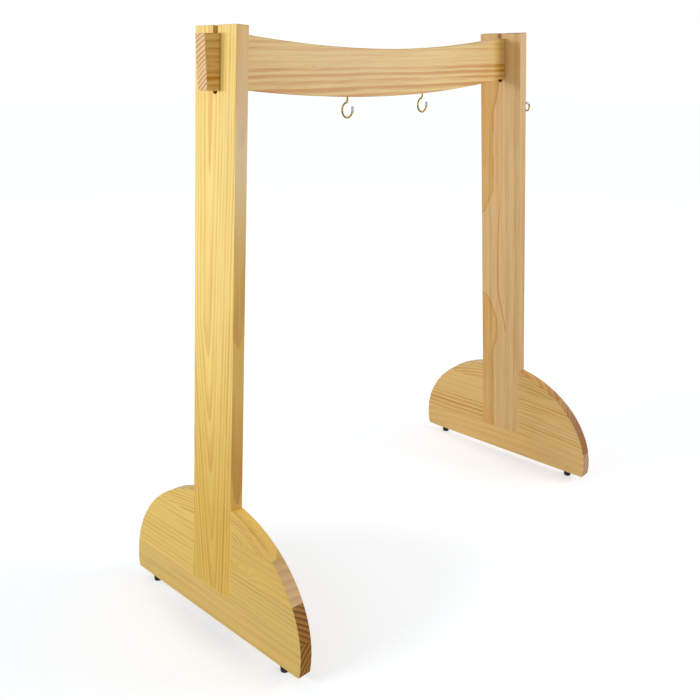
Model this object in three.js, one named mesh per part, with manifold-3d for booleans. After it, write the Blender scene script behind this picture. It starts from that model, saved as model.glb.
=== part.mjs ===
import * as THREE from 'three';
import { mergeVertices } from 'three/addons/utils/BufferGeometryUtils.js';
import Module from 'manifold-3d';

// A free-standing gong stand of clear-finished pine, in millimetres. +Z is up, X runs along the
// crossbeam and the player stands at -Y. The origin is on the floor, midway between the side frames.
// Each side frame is a post let into a half-moon base of glued strips, and leans out at its foot.
// The bowed crossbeam drops into a slot in each post, so the stand comes apart without tools.

// Driving dimensions of the wooden parts
const boardThickness = 28;
const postWidth = 120;
const frameHeight = 1170;
const clearSpanAtTop = 869;
const splay = THREE.MathUtils.degToRad(3.7);
const baseBellyLength = 533;
const baseBellyHeight = 35;
const baseCrownRise = 226;
const crownTrim = 7;
const stripLevels = ['lower', 'middle', 'upper'];
const beamHeight = 100;
const beamEndPastPost = 35.5;
const beamFlatInsidePost = 19.5;
const beamBowDip = 26;
const beamEdgeRound = 10;
const slotWidth = 14;
const slotDepth = 114;

// Clearances
const glueLine = 0.3;
const slidingGap = 0.3;
const seatGap = 0.3;
const cutOverrun = 5;

// Dowels that pin the post to its base
const dowelDiameter = 8;
const dowelLength = 40;
const dowelGap = 0.3;

// Brass screw hooks that carry the gong, and the one that carries the mallet
const gongHook = {
  wire: 4,
  ringRadius: 15.8,
  neckRadius: 4,
  reach: 27.5,
  threadLength: 24,
  threadPitch: 2,
  threadDepth: 0.5,
  capLength: 10,
  capWall: 1.1,
};
const malletHook = {
  wire: 4,
  ringRadius: 10.2,
  neckRadius: 3.5,
  reach: 43.6,
  threadLength: 18,
  threadPitch: 2,
  threadDepth: 0.5,
  capLength: 8,
  capWall: 1,
};
const gongHookSpacing = 250;
const malletHookBelowTop = 190;
const malletHookFromFrontEdge = 24;
const hookTipAngle = THREE.MathUtils.degToRad(378);
const capEndWall = 1.2;
const capGap = 0.3;

// Rubber feet with their washers and screws
const footHeight = 16;
const footTopDiameter = 20;
const footSoleDiameter = 17;
const footFromBaseEnd = 56.5;
const footRecessDiameter = 10;
const footRecessDepth = 9;
const footHoleDiameter = 4.4;
const washerDiameter = 9.2;
const washerThickness = 1;
const screwHeadDiameter = 7.2;
const screwHeadHeight = 2.4;
const screwShankDiameter = 3;
const screwThreadDepth = 0.4;
const screwThreadPitch = 1.6;
const screwBite = 16;

// Smoothness of the round shapes
const crownSteps = 96;
const bowSteps = 40;
const edgeSteps = 6;
const slotSteps = 8;
const wireSides = 8;
const wireSteps = 36;
const capSteps = 5;
const turnedSides = 20;
const smallTurnedSides = 10;

// Finishes
const pine = { roughness: 0.5, metalness: 0 };
const finishes = {
  yellowPine: { color: 0xd9ae5c, ...pine },
  honeyPine: { color: 0xd0a067, ...pine },
  paleBeech: { color: 0xd8bd92, roughness: 0.7, metalness: 0 },
  brass: { color: 0xc9a24a, roughness: 0.25, metalness: 1 },
  clearVinyl: { color: 0xe6e4dc, roughness: 0.35, metalness: 0 },
  rubber: { color: 0x17181a, roughness: 0.75, metalness: 0 },
  zincSteel: { color: 0xb7babd, roughness: 0.35, metalness: 1 },
};

// Solids
const wasm = await Module();
wasm.setup();

function toSolid(geometry) {
  const bare = geometry.clone();
  bare.deleteAttribute('normal');
  bare.deleteAttribute('uv');
  const merged = mergeVertices(bare);
  return new wasm.Manifold(new wasm.Mesh({
    numProp: 3,
    vertProperties: new Float32Array(merged.attributes.position.array),
    triVerts: new Uint32Array(merged.index.array),
  }));
}

function toGeometry(solid) {
  const { vertProperties, triVerts } = solid.getMesh();
  const indexed = new THREE.BufferGeometry();
  indexed.setAttribute('position', new THREE.BufferAttribute(vertProperties, 3));
  indexed.setIndex(new THREE.BufferAttribute(triVerts, 1));
  const flat = indexed.toNonIndexed();
  flat.computeVertexNormals();
  return flat;
}

function cutFrom(geometry, cutters) {
  return toGeometry(cutters.reduce((solid, cutter) => solid.subtract(toSolid(cutter)), toSolid(geometry)));
}

function block([xLow, yLow, zLow], [xHigh, yHigh, zHigh]) {
  const geometry = new THREE.BoxGeometry(xHigh - xLow, yHigh - yLow, zHigh - zLow);
  return geometry.translate((xLow + xHigh) / 2, (yLow + yHigh) / 2, (zLow + zHigh) / 2);
}

// A rod whose axis runs along X, Y or Z through the given centre
function rod(diameter, length, axis, centre, sides = smallTurnedSides) {
  const geometry = new THREE.CylinderGeometry(diameter / 2, diameter / 2, length, sides);
  if (axis === 'x') geometry.rotateZ(Math.PI / 2);
  if (axis === 'z') geometry.rotateX(Math.PI / 2);
  return geometry.translate(centre.x, centre.y, centre.z);
}

// A shape drawn in the Y-Z plane and given the board's thickness, half on either side of that plane
function board(shape) {
  const geometry = new THREE.ExtrudeGeometry(shape, {
    depth: boardThickness,
    bevelEnabled: false,
    curveSegments: slotSteps,
  });
  geometry.translate(0, 0, -boardThickness / 2);
  return geometry.applyMatrix4(new THREE.Matrix4().makeBasis(
    new THREE.Vector3(0, 1, 0), new THREE.Vector3(0, 0, 1), new THREE.Vector3(1, 0, 0)));
}

// A turned piece: pairs of radius and height, from the axis and back to it or closed on itself
function turned(profile, sides = turnedSides) {
  const points = profile.map(([radius, height]) => new THREE.Vector2(radius, height));
  return new THREE.LatheGeometry(points, sides).rotateX(Math.PI / 2);
}

// A closed skin over rings of points that all have as many points, such as the sections of a bowed
// board. The rings' outlines bulge outwards everywhere, so a fan closes each end.
function lofted(rings) {
  const sides = rings[0].length;
  const last = (rings.length - 1) * sides;
  const index = [];
  for (let start = 0; start < last; start += sides) {
    for (let side = 0; side < sides; side += 1) {
      const here = start + side;
      const next = start + (side + 1) % sides;
      index.push(here, next, next + sides, here, next + sides, here + sides);
    }
  }
  for (let side = 1; side < sides - 1; side += 1) {
    index.push(0, side + 1, side, last, last + side, last + side + 1);
  }
  return new THREE.BufferGeometry().setFromPoints(rings.flat()).setIndex(index);
}

function piece(name, geometry, finish) {
  const mesh = new THREE.Mesh(geometry, new THREE.MeshStandardMaterial(finishes[finish]));
  mesh.name = name;
  return mesh;
}

// Side frames: drawn upright about the middle of the post's foot edge, then leaned
const halfBoard = boardThickness / 2;
const halfPost = postWidth / 2;
const baseHeight = baseBellyHeight + baseCrownRise;
const stripWidth = (baseHeight + crownTrim) / (stripLevels.length + 1);
const beamSeatHeight = frameHeight - slotDepth;
const frameFootX = clearSpanAtTop / 2 + halfBoard * Math.cos(splay) + frameHeight * Math.sin(splay);

function leanedGroup(side) {
  const group = new THREE.Group();
  group.position.set(side * frameFootX, 0, footHeight);
  group.rotation.y = -side * splay;
  group.updateMatrixWorld();
  return group;
}

// The half-moon that all base strips are sawn to: an ellipse cut flat a little below its middle
function halfMoonShape() {
  const footAngle = Math.asin(baseBellyHeight / baseCrownRise);
  const points = Array.from({ length: crownSteps + 1 }, (unused, step) => {
    const angle = -footAngle + (Math.PI + 2 * footAngle) * (step / crownSteps);
    return new THREE.Vector2(
      (baseBellyLength / 2) * Math.cos(angle),
      baseBellyHeight + baseCrownRise * Math.sin(angle));
  });
  return new THREE.Shape(points);
}

function postShape() {
  const foot = stripWidth + glueLine / 2;
  const shape = new THREE.Shape();
  shape.moveTo(-halfPost, foot);
  shape.lineTo(halfPost, foot);
  shape.lineTo(halfPost, frameHeight);
  shape.lineTo(slotWidth / 2, frameHeight);
  shape.lineTo(slotWidth / 2, beamSeatHeight);
  shape.absarc(0, beamSeatHeight, slotWidth / 2, 0, -Math.PI, true);
  shape.lineTo(-slotWidth / 2, frameHeight);
  shape.lineTo(-halfPost, frameHeight);
  shape.closePath();
  return shape;
}

// Where the dowels lie: two upright ones in the post's foot, and two level ones in each edge
function dowelPlaces() {
  const places = [];
  for (const [end, direction] of [['front', -1], ['back', 1]]) {
    places.push({
      name: `foot_dowel_${end}`,
      axis: 'z',
      centre: new THREE.Vector3(0, direction * postWidth / 4, stripWidth),
    });
    for (const [level, row] of [['lower', 1], ['upper', 2]]) {
      places.push({
        name: `edge_dowel_${end}_${level}`,
        axis: 'y',
        centre: new THREE.Vector3(0, direction * (halfPost + glueLine / 2), (row + 1 / 2) * stripWidth),
      });
    }
  }
  return places;
}

function dowelHoles() {
  return dowelPlaces().map(({ axis, centre }) => (
    rod(dowelDiameter + 2 * dowelGap, dowelLength + 2 * dowelGap, axis, centre)));
}

function footPlaces() {
  return [['front', -1], ['back', 1]].map(([end, direction]) => ({
    end, y: direction * (baseBellyLength / 2 - footFromBaseEnd),
  }));
}

function screwHoles() {
  const diameter = screwShankDiameter + 2 * (screwThreadDepth + seatGap);
  return footPlaces().map(({ y }) => rod(
    diameter, 2 * (screwBite + seatGap), 'z', new THREE.Vector3(0, y, 0)));
}

// The strips of one half-moon, from the floor up. The lowest is the sill, which runs right through
// under the post, and the rest butt against the post's edges. The crown takes a trim off the top one.
function baseStrips(sideName, finish) {
  const halfMoon = toSolid(board(halfMoonShape()));
  const holes = [...dowelHoles(), ...screwHoles()].map(toSolid);
  const far = baseBellyLength;
  const sawn = (name, low, high) => {
    const strip = halfMoon.intersect(toSolid(block(low, high)));
    const bored = holes.reduce((solid, hole) => solid.subtract(hole), strip);
    return piece(`${sideName}_base_${name}`, toGeometry(bored), finish);
  };
  const strips = [sawn('sill',
    [-boardThickness, -far, -cutOverrun],
    [boardThickness, far, stripWidth - glueLine / 2])];
  const inner = halfPost + glueLine;
  stripLevels.forEach((level, row) => {
    const bottom = (row + 1) * stripWidth + glueLine / 2;
    const top = (row + 2) * stripWidth - glueLine / 2;
    strips.push(sawn(`front_${level}_strip`,
      [-boardThickness, -far, bottom], [boardThickness, -inner, top]));
    strips.push(sawn(`back_${level}_strip`,
      [-boardThickness, inner, bottom], [boardThickness, far, top]));
  });
  return strips;
}

// A wood-screw thread drawn as a ring for each turn, pointing up from its start
function threadProfile(coreRadius, depth, pitch, length) {
  const turns = Math.floor(length / pitch) - 1;
  const ridges = Array.from({ length: turns }, (unused, turn) => [
    [coreRadius, pitch * turn],
    [coreRadius + depth, pitch * (turn + 1 / 2)],
  ]).flat();
  return [...ridges, [coreRadius, pitch * turns], [0, length]];
}

// Rubber foot, washer and screw, about the foot's axis with z = 0 at the base's bottom edge.
// The rubber settles flat on the floor, so its sole is cut level although the frame leans.
function rubberFoot(group, y) {
  const top = -seatGap;
  const underside = -footHeight - cutOverrun;
  const slope = (footTopDiameter - footSoleDiameter) / 2 / footHeight;
  const lowestRadius = footTopDiameter / 2 + slope * underside;
  const blank = turned([
    [footHoleDiameter / 2, top],
    [footHoleDiameter / 2, footRecessDepth - footHeight],
    [footRecessDiameter / 2, footRecessDepth - footHeight],
    [footRecessDiameter / 2, underside],
    [lowestRadius, underside],
    [footTopDiameter / 2, top],
    [footHoleDiameter / 2, top],
  ]);
  const reach = footTopDiameter;
  const floor = block(
    [group.position.x - reach, y - reach, -2 * (footHeight + cutOverrun)],
    [group.position.x + reach, y + reach, 0]);
  floor.applyMatrix4(group.matrixWorld.clone().invert());
  return cutFrom(blank.translate(0, y, 0), [floor]);
}

function footWasher() {
  const bottom = footRecessDepth - footHeight - seatGap - washerThickness;
  const top = bottom + washerThickness;
  return turned([
    [footHoleDiameter / 2, bottom],
    [washerDiameter / 2, bottom],
    [washerDiameter / 2, top],
    [footHoleDiameter / 2, top],
    [footHoleDiameter / 2, bottom],
  ], smallTurnedSides);
}

function footScrew() {
  const headTop = footRecessDepth - footHeight - 2 * seatGap - washerThickness;
  const shank = screwShankDiameter / 2;
  const head = [
    [0, -screwHeadHeight],
    [screwHeadDiameter / 4, -screwHeadHeight],
    [screwHeadDiameter / 2, -screwHeadHeight / 2],
    [screwHeadDiameter / 2, 0],
  ];
  const thread = threadProfile(shank, screwThreadDepth, screwThreadPitch, screwBite - headTop);
  return turned([...head, ...thread], smallTurnedSides).translate(0, 0, headTop);
}

function sideFrame(sideName, side, finish) {
  const group = leanedGroup(side);
  group.add(...baseStrips(sideName, finish));

  const postCuts = dowelHoles();
  if (sideName === 'right') postCuts.push(malletHookHole());
  group.add(piece(`${sideName}_post`, cutFrom(board(postShape()), postCuts), finish));

  for (const { name, axis, centre } of dowelPlaces()) {
    group.add(piece(`${sideName}_${name}`, rod(dowelDiameter, dowelLength, axis, centre), 'paleBeech'));
  }
  for (const { end, y } of footPlaces()) {
    const name = `${sideName}_${end}_foot`;
    group.add(piece(name, rubberFoot(group, y), 'rubber'));
    group.add(piece(`${name}_washer`, footWasher().translate(0, y, 0), 'zincSteel'));
    group.add(piece(`${name}_screw`, footScrew().translate(0, y, 0), 'zincSteel'));
  }
  return group;
}

// Hooks: a line drawn in a flat path and lifted into the X-Z plane, for wire to follow
class UprightPath extends THREE.Curve {
  constructor(path) {
    super();
    this.path = path;
  }

  getPoint(share, target = new THREE.Vector3()) {
    const point = this.path.getPointAt(share);
    return target.set(point.x, 0, point.y);
  }
}

function bentWire(path, radius, steps) {
  const section = new THREE.Shape(Array.from({ length: wireSides }, (unused, side) => {
    const angle = 2 * Math.PI * side / wireSides;
    return new THREE.Vector2(radius * Math.cos(angle), radius * Math.sin(angle));
  }));
  return new THREE.ExtrudeGeometry(section, { steps, extrudePath: new UprightPath(path) });
}

// The hook's ring is centred on the origin and its shank rises along +Z. The neck is a fillet that
// touches the shank's line and the ring, which then runs round to the tip on the +X side.
function hookSolid(hook) {
  const neckHeight = Math.sqrt((hook.ringRadius + hook.neckRadius) ** 2 - hook.neckRadius ** 2);
  const neckTurn = Math.acos(hook.neckRadius / (hook.ringRadius + hook.neckRadius));
  const path = new THREE.Path();
  path.moveTo(0, hook.reach + hook.wire);
  path.lineTo(0, neckHeight);
  path.absarc(-hook.neckRadius, neckHeight, hook.neckRadius, 0, -neckTurn, true);
  path.absarc(0, 0, hook.ringRadius, Math.PI - neckTurn, hookTipAngle, false);
  const core = hook.wire / 2 - hook.threadDepth;
  const thread = turned(
    [[0, 0], ...threadProfile(core, hook.threadDepth, hook.threadPitch, hook.threadLength)],
    smallTurnedSides);
  thread.translate(0, 0, hook.reach + hook.wire - hook.threadDepth);
  return toGeometry(toSolid(bentWire(path, hook.wire / 2, wireSteps)).add(toSolid(thread)));
}

// A soft cap over the hook's tip: a fat stretch of the same arc, bored to slip over the wire
function hookCap(hook) {
  const turnOf = (length) => length / hook.ringRadius;
  const arc = (from, to) => {
    const path = new THREE.Path();
    path.absarc(0, 0, hook.ringRadius, from, to, false);
    return path;
  };
  const start = hookTipAngle - turnOf(hook.capLength);
  const bore = hook.wire / 2 + capGap;
  const outside = bentWire(
    arc(start, hookTipAngle + turnOf(capGap + capEndWall)), bore + hook.capWall, capSteps);
  const inside = bentWire(
    arc(start - turnOf(capEndWall), hookTipAngle + turnOf(capGap)), bore, capSteps);
  return cutFrom(outside, [inside]);
}

function hookHole(hook, axis, mouth, direction) {
  const depth = hook.threadLength + hook.wire + seatGap;
  const centre = mouth.clone();
  centre[axis] += direction * (depth - cutOverrun) / 2;
  return rod(hook.wire + 2 * seatGap, depth + cutOverrun, axis, centre);
}

const malletHookY = malletHookFromFrontEdge - halfPost;
const malletHookZ = frameHeight - malletHookBelowTop;

function malletHookHole() {
  return hookHole(malletHook, 'x', new THREE.Vector3(halfBoard, malletHookY, malletHookZ), -1);
}

// Crossbeam: a plank of even height whose middle is bowed down, flat where it meets the posts.
// Its lower back edge is rounded over from end to end.
const beamBottom = footHeight + beamSeatHeight * Math.cos(splay);
const beamLength = clearSpanAtTop + 2 * (boardThickness * Math.cos(splay) + beamEndPastPost);
const beamBowSpan = clearSpanAtTop - 2 * beamFlatInsidePost;
const bowRadius = ((beamBowSpan / 2) ** 2 + beamBowDip ** 2) / (2 * beamBowDip);

function bowDrop(x) {
  const reach = Math.min(Math.abs(x), beamBowSpan / 2);
  return Math.sqrt(bowRadius ** 2 - reach ** 2) - (bowRadius - beamBowDip);
}

function beamBlank() {
  const places = Array.from({ length: bowSteps + 1 }, (unused, step) => (
    beamBowSpan * (step / bowSteps - 1 / 2)));
  const rounding = Array.from({ length: edgeSteps + 1 }, (unused, step) => {
    const angle = (Math.PI / 2) * (step / edgeSteps);
    return [
      halfBoard - beamEdgeRound * (1 - Math.sin(angle)),
      beamEdgeRound * (1 - Math.cos(angle))];
  });
  const section = [[-halfBoard, 0], ...rounding, [halfBoard, beamHeight], [-halfBoard, beamHeight]];
  return lofted([-beamLength / 2, ...places, beamLength / 2].map((x) => (
    section.map(([y, z]) => new THREE.Vector3(x, y, beamBottom - bowDrop(x) + z)))));
}

// The housings that leave a tongue in the post's slot are sawn square to the leaning post
function housingCuts(side) {
  const tongue = slotWidth / 2 - slidingGap;
  const shoulder = halfBoard + slidingGap;
  const low = beamSeatHeight - beamHeight / 2;
  const high = frameHeight + beamHeight / 2;
  const cuts = [
    block([-shoulder, -boardThickness, low], [shoulder, -tongue, high]),
    block([-shoulder, tongue, low], [shoulder, boardThickness, high]),
    block([-shoulder, -boardThickness, low], [shoulder, boardThickness, beamSeatHeight + seatGap]),
  ];
  return cuts.map((cut) => cut.applyMatrix4(leanedGroup(side).matrixWorld));
}

function gongHookPlaces() {
  return [['left', -1], ['right', 1]].map(([sideName, side]) => {
    const x = side * gongHookSpacing / 2;
    return { sideName, place: new THREE.Vector3(x, 0, beamBottom - bowDrop(x)) };
  });
}

function crossbeam() {
  const holes = gongHookPlaces().map(({ place }) => hookHole(gongHook, 'z', place, 1));
  return cutFrom(beamBlank(), [...housingCuts(-1), ...housingCuts(1), ...holes]);
}

function crossbeamGroup() {
  const group = new THREE.Group();
  group.add(piece('crossbeam', crossbeam(), 'honeyPine'));
  for (const { sideName, place } of gongHookPlaces()) {
    const hook = piece(`${sideName}_gong_hook`, hookSolid(gongHook), 'brass');
    const cap = piece(`${sideName}_gong_hook_cap`, hookCap(gongHook), 'clearVinyl');
    for (const mesh of [hook, cap]) mesh.position.set(place.x, place.y, place.z - gongHook.reach);
    group.add(hook, cap);
  }
  return group;
}

// The mallet's hook is screwed level into the right post's outer face and opens upwards
function addMalletHook(group) {
  const hook = piece('mallet_hook', hookSolid(malletHook), 'brass');
  const cap = piece('mallet_hook_cap', hookCap(malletHook), 'clearVinyl');
  for (const mesh of [hook, cap]) {
    mesh.position.set(halfBoard + malletHook.reach, malletHookY, malletHookZ);
    mesh.rotation.y = -Math.PI / 2;
  }
  group.add(hook, cap);
}

const leftFrame = sideFrame('left', -1, 'yellowPine');
const rightFrame = sideFrame('right', 1, 'honeyPine');
addMalletHook(rightFrame);

const gongStand = new THREE.Group();
gongStand.add(leftFrame, rightFrame, crossbeamGroup());

export default gongStand;
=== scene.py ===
import math
from contextlib import contextmanager
from dataclasses import dataclass, replace

import bmesh
import bpy
from bpy.props import FloatProperty, FloatVectorProperty, PointerProperty
from mathutils import Matrix, Vector


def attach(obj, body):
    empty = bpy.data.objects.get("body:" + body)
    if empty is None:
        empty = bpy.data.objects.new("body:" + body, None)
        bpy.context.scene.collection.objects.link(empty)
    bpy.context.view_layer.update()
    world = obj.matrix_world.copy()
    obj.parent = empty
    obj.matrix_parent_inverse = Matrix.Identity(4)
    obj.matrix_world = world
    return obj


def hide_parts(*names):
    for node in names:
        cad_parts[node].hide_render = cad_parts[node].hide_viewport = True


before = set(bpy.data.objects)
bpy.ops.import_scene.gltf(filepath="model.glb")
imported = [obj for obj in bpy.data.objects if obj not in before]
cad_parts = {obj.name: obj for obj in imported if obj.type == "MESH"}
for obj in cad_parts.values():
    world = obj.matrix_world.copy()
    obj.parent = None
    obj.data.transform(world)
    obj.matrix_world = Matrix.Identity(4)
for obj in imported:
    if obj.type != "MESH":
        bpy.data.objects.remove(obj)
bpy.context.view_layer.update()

bl_info = {
    "name": "Gong stand",
    "version": (1, 0, 0),
    "blender": (4, 5, 0),
    "location": "3D View > Sidebar > Gong stand",
    "description": "Dresses a knock-down pine gong stand: bowed crossbeam, splayed posts, "
                   "half-moon bases, screw hooks and rubber feet",
    "category": "Object",
}

SIDES = {"left": -1, "right": 1}
LEFT, RIGHT = SIDES.values()
ENDS = {"front": -1, "back": 1}

# Straight sides of what is round, and steps of a rounded edge, of the bow and of a bend
MOON_SIDES, HOLE_SIDES, WIRE_SIDES = 240, 32, 24
FOOT_SIDES, WASHER_SIDES, SCREW_SIDES = 48, 40, 32
ARRIS_STEPS, CORNER_STEPS, ROUND_STEPS, BOW_STEPS = 3, 5, 8, 48
BEND_STEP = math.radians(6)
# Faces that meet at less than this are smoothed, and edges that turn more get an arris
SMOOTH, SHARP = math.radians(32), math.radians(40)
# How near counts as the same place, and how near points are welded
NEAR, WELD = 1e-5, 1e-6


def length(description, default):
    """A length in metres that a user may change."""
    return FloatProperty(description=description, default=default,
                         min=0, unit='LENGTH', subtype='DISTANCE', precision=4)


def tint(description, default):
    """A colour, written as it should look under plain light."""
    return FloatVectorProperty(description=description, default=default,
                               min=0, max=1, size=3, subtype='COLOR_GAMMA')


def angle(description, default):
    """An angle in radians."""
    return FloatProperty(description=description, default=default, subtype='ANGLE')


class WoodSizes(bpy.types.PropertyGroup):
    """Sizes of the boards and of the joints between them."""
    board: length("Thickness of every board", 0.028)
    arris: length("How far the long edges are eased", 0.0013)
    splay: angle("Lean of the side frames from upright", math.radians(3.7))
    frame_height: length("Height of a side frame along its post", 1.170)
    frame_foot: length("From the middle of the stand to a frame's foot edge", 0.523974)
    post_width: length("Width of a post", 0.120)
    slot_width: length("Width of the slot in a post's top", 0.014)
    slot_depth: length("Depth of that slot to the beam's seat", 0.114)
    base_length: length("Widest length of a half-moon base", 0.53296)
    base_belly: length("Height at which a base is longest", 0.035)
    base_crown: length("Rise of a base's crown above its belly", 0.226)
    base_corner: length("Rounding of a base's lower corners", 0.005)
    strip: length("Width of the strips a base is glued from", 0.067)
    beam_length: length("Length of the crossbeam", 0.995883)
    beam_height: length("Height of the crossbeam", 0.100)
    beam_bow: length("How far the crossbeam's middle is bowed down", 0.026)
    beam_bow_span: length("Length of the bowed part", 0.830)
    beam_round: length("Rounding of the crossbeam's lower back edge", 0.010)
    fit: length("Gap between the beam's tongue and the post's slot", 0.0003)
    shoulder: length("Gap between the beam's shoulders and a post", 0.0012)
    dowel: length("Diameter of the dowels between a post and its base", 0.008)
    dowel_length: length("Length of those dowels", 0.040)


class HookSizes:
    """Sizes that every screw hook and the cap on its tip have."""
    wire: length("Diameter of the wire", 0.004)
    ring: length("Radius of the ring at the middle of the wire", 0.0158)
    neck: length("Radius of the bend between shank and ring", 0.004)
    reach: length("From the wood to the middle of the ring", 0.0275)
    thread: length("Length of the thread", 0.024)
    pitch: length("Height of one turn of the thread", 0.002)
    depth: length("Depth of the thread", 0.0005)
    tip: angle("How far the tip stands past the ring's middle", math.radians(18))
    cap: length("Length of the soft cap on the tip", 0.010)
    cap_wall: length("Wall of the cap", 0.0011)
    cap_gap: length("Gap between the wire and the cap", 0.0003)


class GongHookSizes(HookSizes, bpy.types.PropertyGroup):
    """Sizes of the gong's two hooks and of their caps."""
    spacing: length("From one hook to the other", 0.250)


class MalletHookSizes(HookSizes, bpy.types.PropertyGroup):
    """Sizes of the mallet's hook and of its cap."""
    ring: length("Radius of its ring", 0.0102)
    neck: length("Radius of its neck", 0.0035)
    reach: length("From the wood to its ring", 0.0436)
    thread: length("Length of its thread", 0.018)
    cap: length("Length of its cap", 0.008)
    cap_wall: length("Wall of its cap", 0.001)
    inset: length("From the post's front edge to the hook", 0.024)
    drop: length("From the post's top down to the hook", 0.190)


class FootSizes(bpy.types.PropertyGroup):
    """Sizes of the rubber feet, their washers and screws."""
    height: length("Height of a foot", 0.016)
    top: length("Diameter of a foot at the wood", 0.020)
    sole: length("Diameter of a foot at the floor", 0.017)
    edge: length("Rounding of a foot's rims", 0.0012)
    spread: length("From the middle of a base to a foot", 0.210)
    recess: length("Diameter of the recess for washer and screw", 0.010)
    recess_depth: length("Depth of that recess", 0.009)
    hole: length("Diameter of the hole for the screw", 0.0044)
    washer: length("Diameter of the washer", 0.0092)
    washer_thickness: length("Thickness of the washer", 0.001)
    head: length("Diameter of the screw's head", 0.0072)
    head_height: length("Height of the screw's head", 0.0024)
    shank: length("Core diameter of the screw", 0.003)
    pitch: length("Height of one turn of the screw's thread", 0.0016)
    depth: length("Depth of the screw's thread", 0.0004)
    bite: length("How far the screw goes into the wood", 0.016)


class FinishColours(bpy.types.PropertyGroup):
    """Colours of the finishes."""
    brass: tint("Hooks", (0.59, 0.50, 0.13))
    vinyl: tint("Soft caps on the hooks", (0.97, 0.97, 0.95))
    rubber: tint("Feet", (0.10, 0.10, 0.11))
    zinc_steel: tint("Washers and screws", (0.72, 0.74, 0.75))
    beech: tint("Dowels", (0.86, 0.74, 0.57))


class StudioSettings(bpy.types.PropertyGroup):
    """Camera, lights and floor."""
    lens: FloatProperty(description="Focal length on a 36 mm wide sensor", default=43.205, min=1)
    eye: FloatVectorProperty(description="Where the camera stands",
                             default=(-1.4212, -1.2454, 1.1255), subtype='TRANSLATION')
    heading: angle("Camera's turn from +Y towards +X", 0.8072)
    dip: angle("Camera's look downwards", 0.2384)
    roll: angle("Camera's turn about its own line of sight", -0.0066)
    rise: FloatProperty(description="Upward shift of the picture, in widths", default=-0.1257)
    key: FloatProperty(description="Power of the soft light at the back left",
                       default=24, min=0, subtype='POWER')
    fill: FloatProperty(description="Power of the soft light in front",
                        default=25, min=0, subtype='POWER')
    room: FloatProperty(description="Level of the light from all round", default=0.5, min=0)
    floor: tint("Colour of the floor", (0.893, 0.910, 0.930))


SETTINGS = {
    "stand_wood": WoodSizes,
    "stand_gong_hook": GongHookSizes,
    "stand_mallet_hook": MalletHookSizes,
    "stand_foot": FootSizes,
    "stand_finish": FinishColours,
    "stand_studio": StudioSettings,
}


# Work on one piece at a time

def take_up(piece):
    """Make a piece the only one that operators act on."""
    bpy.ops.object.select_all(action='DESELECT')
    bpy.context.view_layer.objects.active = piece
    piece.select_set(True)


@contextmanager
def at_bench(piece):
    """Work on a piece in edit mode, with all of it selected to begin with."""
    take_up(piece)
    bpy.ops.object.mode_set(mode='EDIT')
    bpy.ops.mesh.select_all(action='SELECT')
    yield
    bpy.ops.object.mode_set(mode='OBJECT')


def pick(piece, kind, wanted):
    """Select only those vertices, edges or faces of the piece at the bench that are wanted."""
    bpy.ops.mesh.select_all(action='DESELECT')
    bpy.ops.mesh.select_mode(type={'verts': 'VERT', 'edges': 'EDGE', 'faces': 'FACE'}[kind])
    shape = bmesh.from_edit_mesh(piece.data)
    for element in getattr(shape, kind):
        if wanted(element):
            element.select_set(True)
    shape.select_flush_mode()
    bmesh.update_edit_mesh(piece.data)


def draw_out(offset, growth=1.0, about=(0, 0, 0)):
    """Extrude what is selected by an offset, then widen or narrow it about a point."""
    bpy.ops.mesh.extrude_region_move(TRANSFORM_OT_translate={"value": offset})
    if growth != 1.0:
        bpy.ops.transform.resize(value=(growth, growth, growth), center_override=about)


def turn_outwards():
    """Weld the piece at the bench and point all its faces outwards."""
    bpy.ops.mesh.select_all(action='SELECT')
    bpy.ops.mesh.remove_doubles(threshold=WELD)
    bpy.ops.mesh.normals_make_consistent(inside=False)


def ease(piece, wanted, offset, steps=ARRIS_STEPS):
    """Round the edges of the piece at the bench that are wanted."""
    pick(piece, 'edges', wanted)
    bpy.ops.mesh.bevel(offset=offset, segments=steps)


def apply_place(piece):
    """Move a piece's place from its object into its mesh."""
    take_up(piece)
    bpy.ops.object.transform_apply(location=True, rotation=True, scale=True)
    return piece


def new_piece(primitive, **settings):
    """A primitive to shape, with its place in its mesh."""
    bpy.ops.object.select_all(action='DESELECT')
    getattr(bpy.ops.mesh, f"primitive_{primitive}_add")(**settings)
    return apply_place(bpy.context.object)


def block(low, high):
    """A rectangular block between two corners."""
    low, high = Vector(low), Vector(high)
    return new_piece('cube', size=1, location=(low + high) / 2, scale=high - low)


def drill(diameter, depth, axis, centre):
    """A round cutter that lies along X, Y or Z."""
    turn = {'x': (0, math.pi / 2, 0), 'y': (math.pi / 2, 0, 0), 'z': (0, 0, 0)}[axis]
    return new_piece('cylinder', vertices=HOLE_SIDES, radius=diameter / 2, depth=depth,
                     location=centre, rotation=turn)


def put(piece, matrix):
    """Stand a piece in its place, kept in its mesh."""
    piece.matrix_world = matrix
    return apply_place(piece)


def copied(piece):
    """A copy of a piece with a mesh of its own."""
    twin = piece.copy()
    twin.data = piece.data.copy()
    bpy.context.scene.collection.objects.link(twin)
    return twin


def scrap(*pieces):
    """Throw away helpers that aren't part of the stand."""
    for piece in pieces:
        bpy.data.objects.remove(piece)


def apply_modifier(piece, kind, **settings):
    """Add a modifier to a piece and apply it."""
    take_up(piece)
    modifier = piece.modifiers.new(kind.title(), kind)
    for setting, value in settings.items():
        setattr(modifier, setting, value)
    bpy.ops.object.modifier_apply(modifier=modifier.name)


def cut(piece, *cutters):
    """Saw or drill the cutters out of a piece, and throw them away."""
    for cutter in cutters:
        apply_modifier(piece, 'BOOLEAN', operation='DIFFERENCE', solver='EXACT', object=cutter)
    scrap(*cutters)
    return piece


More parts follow.
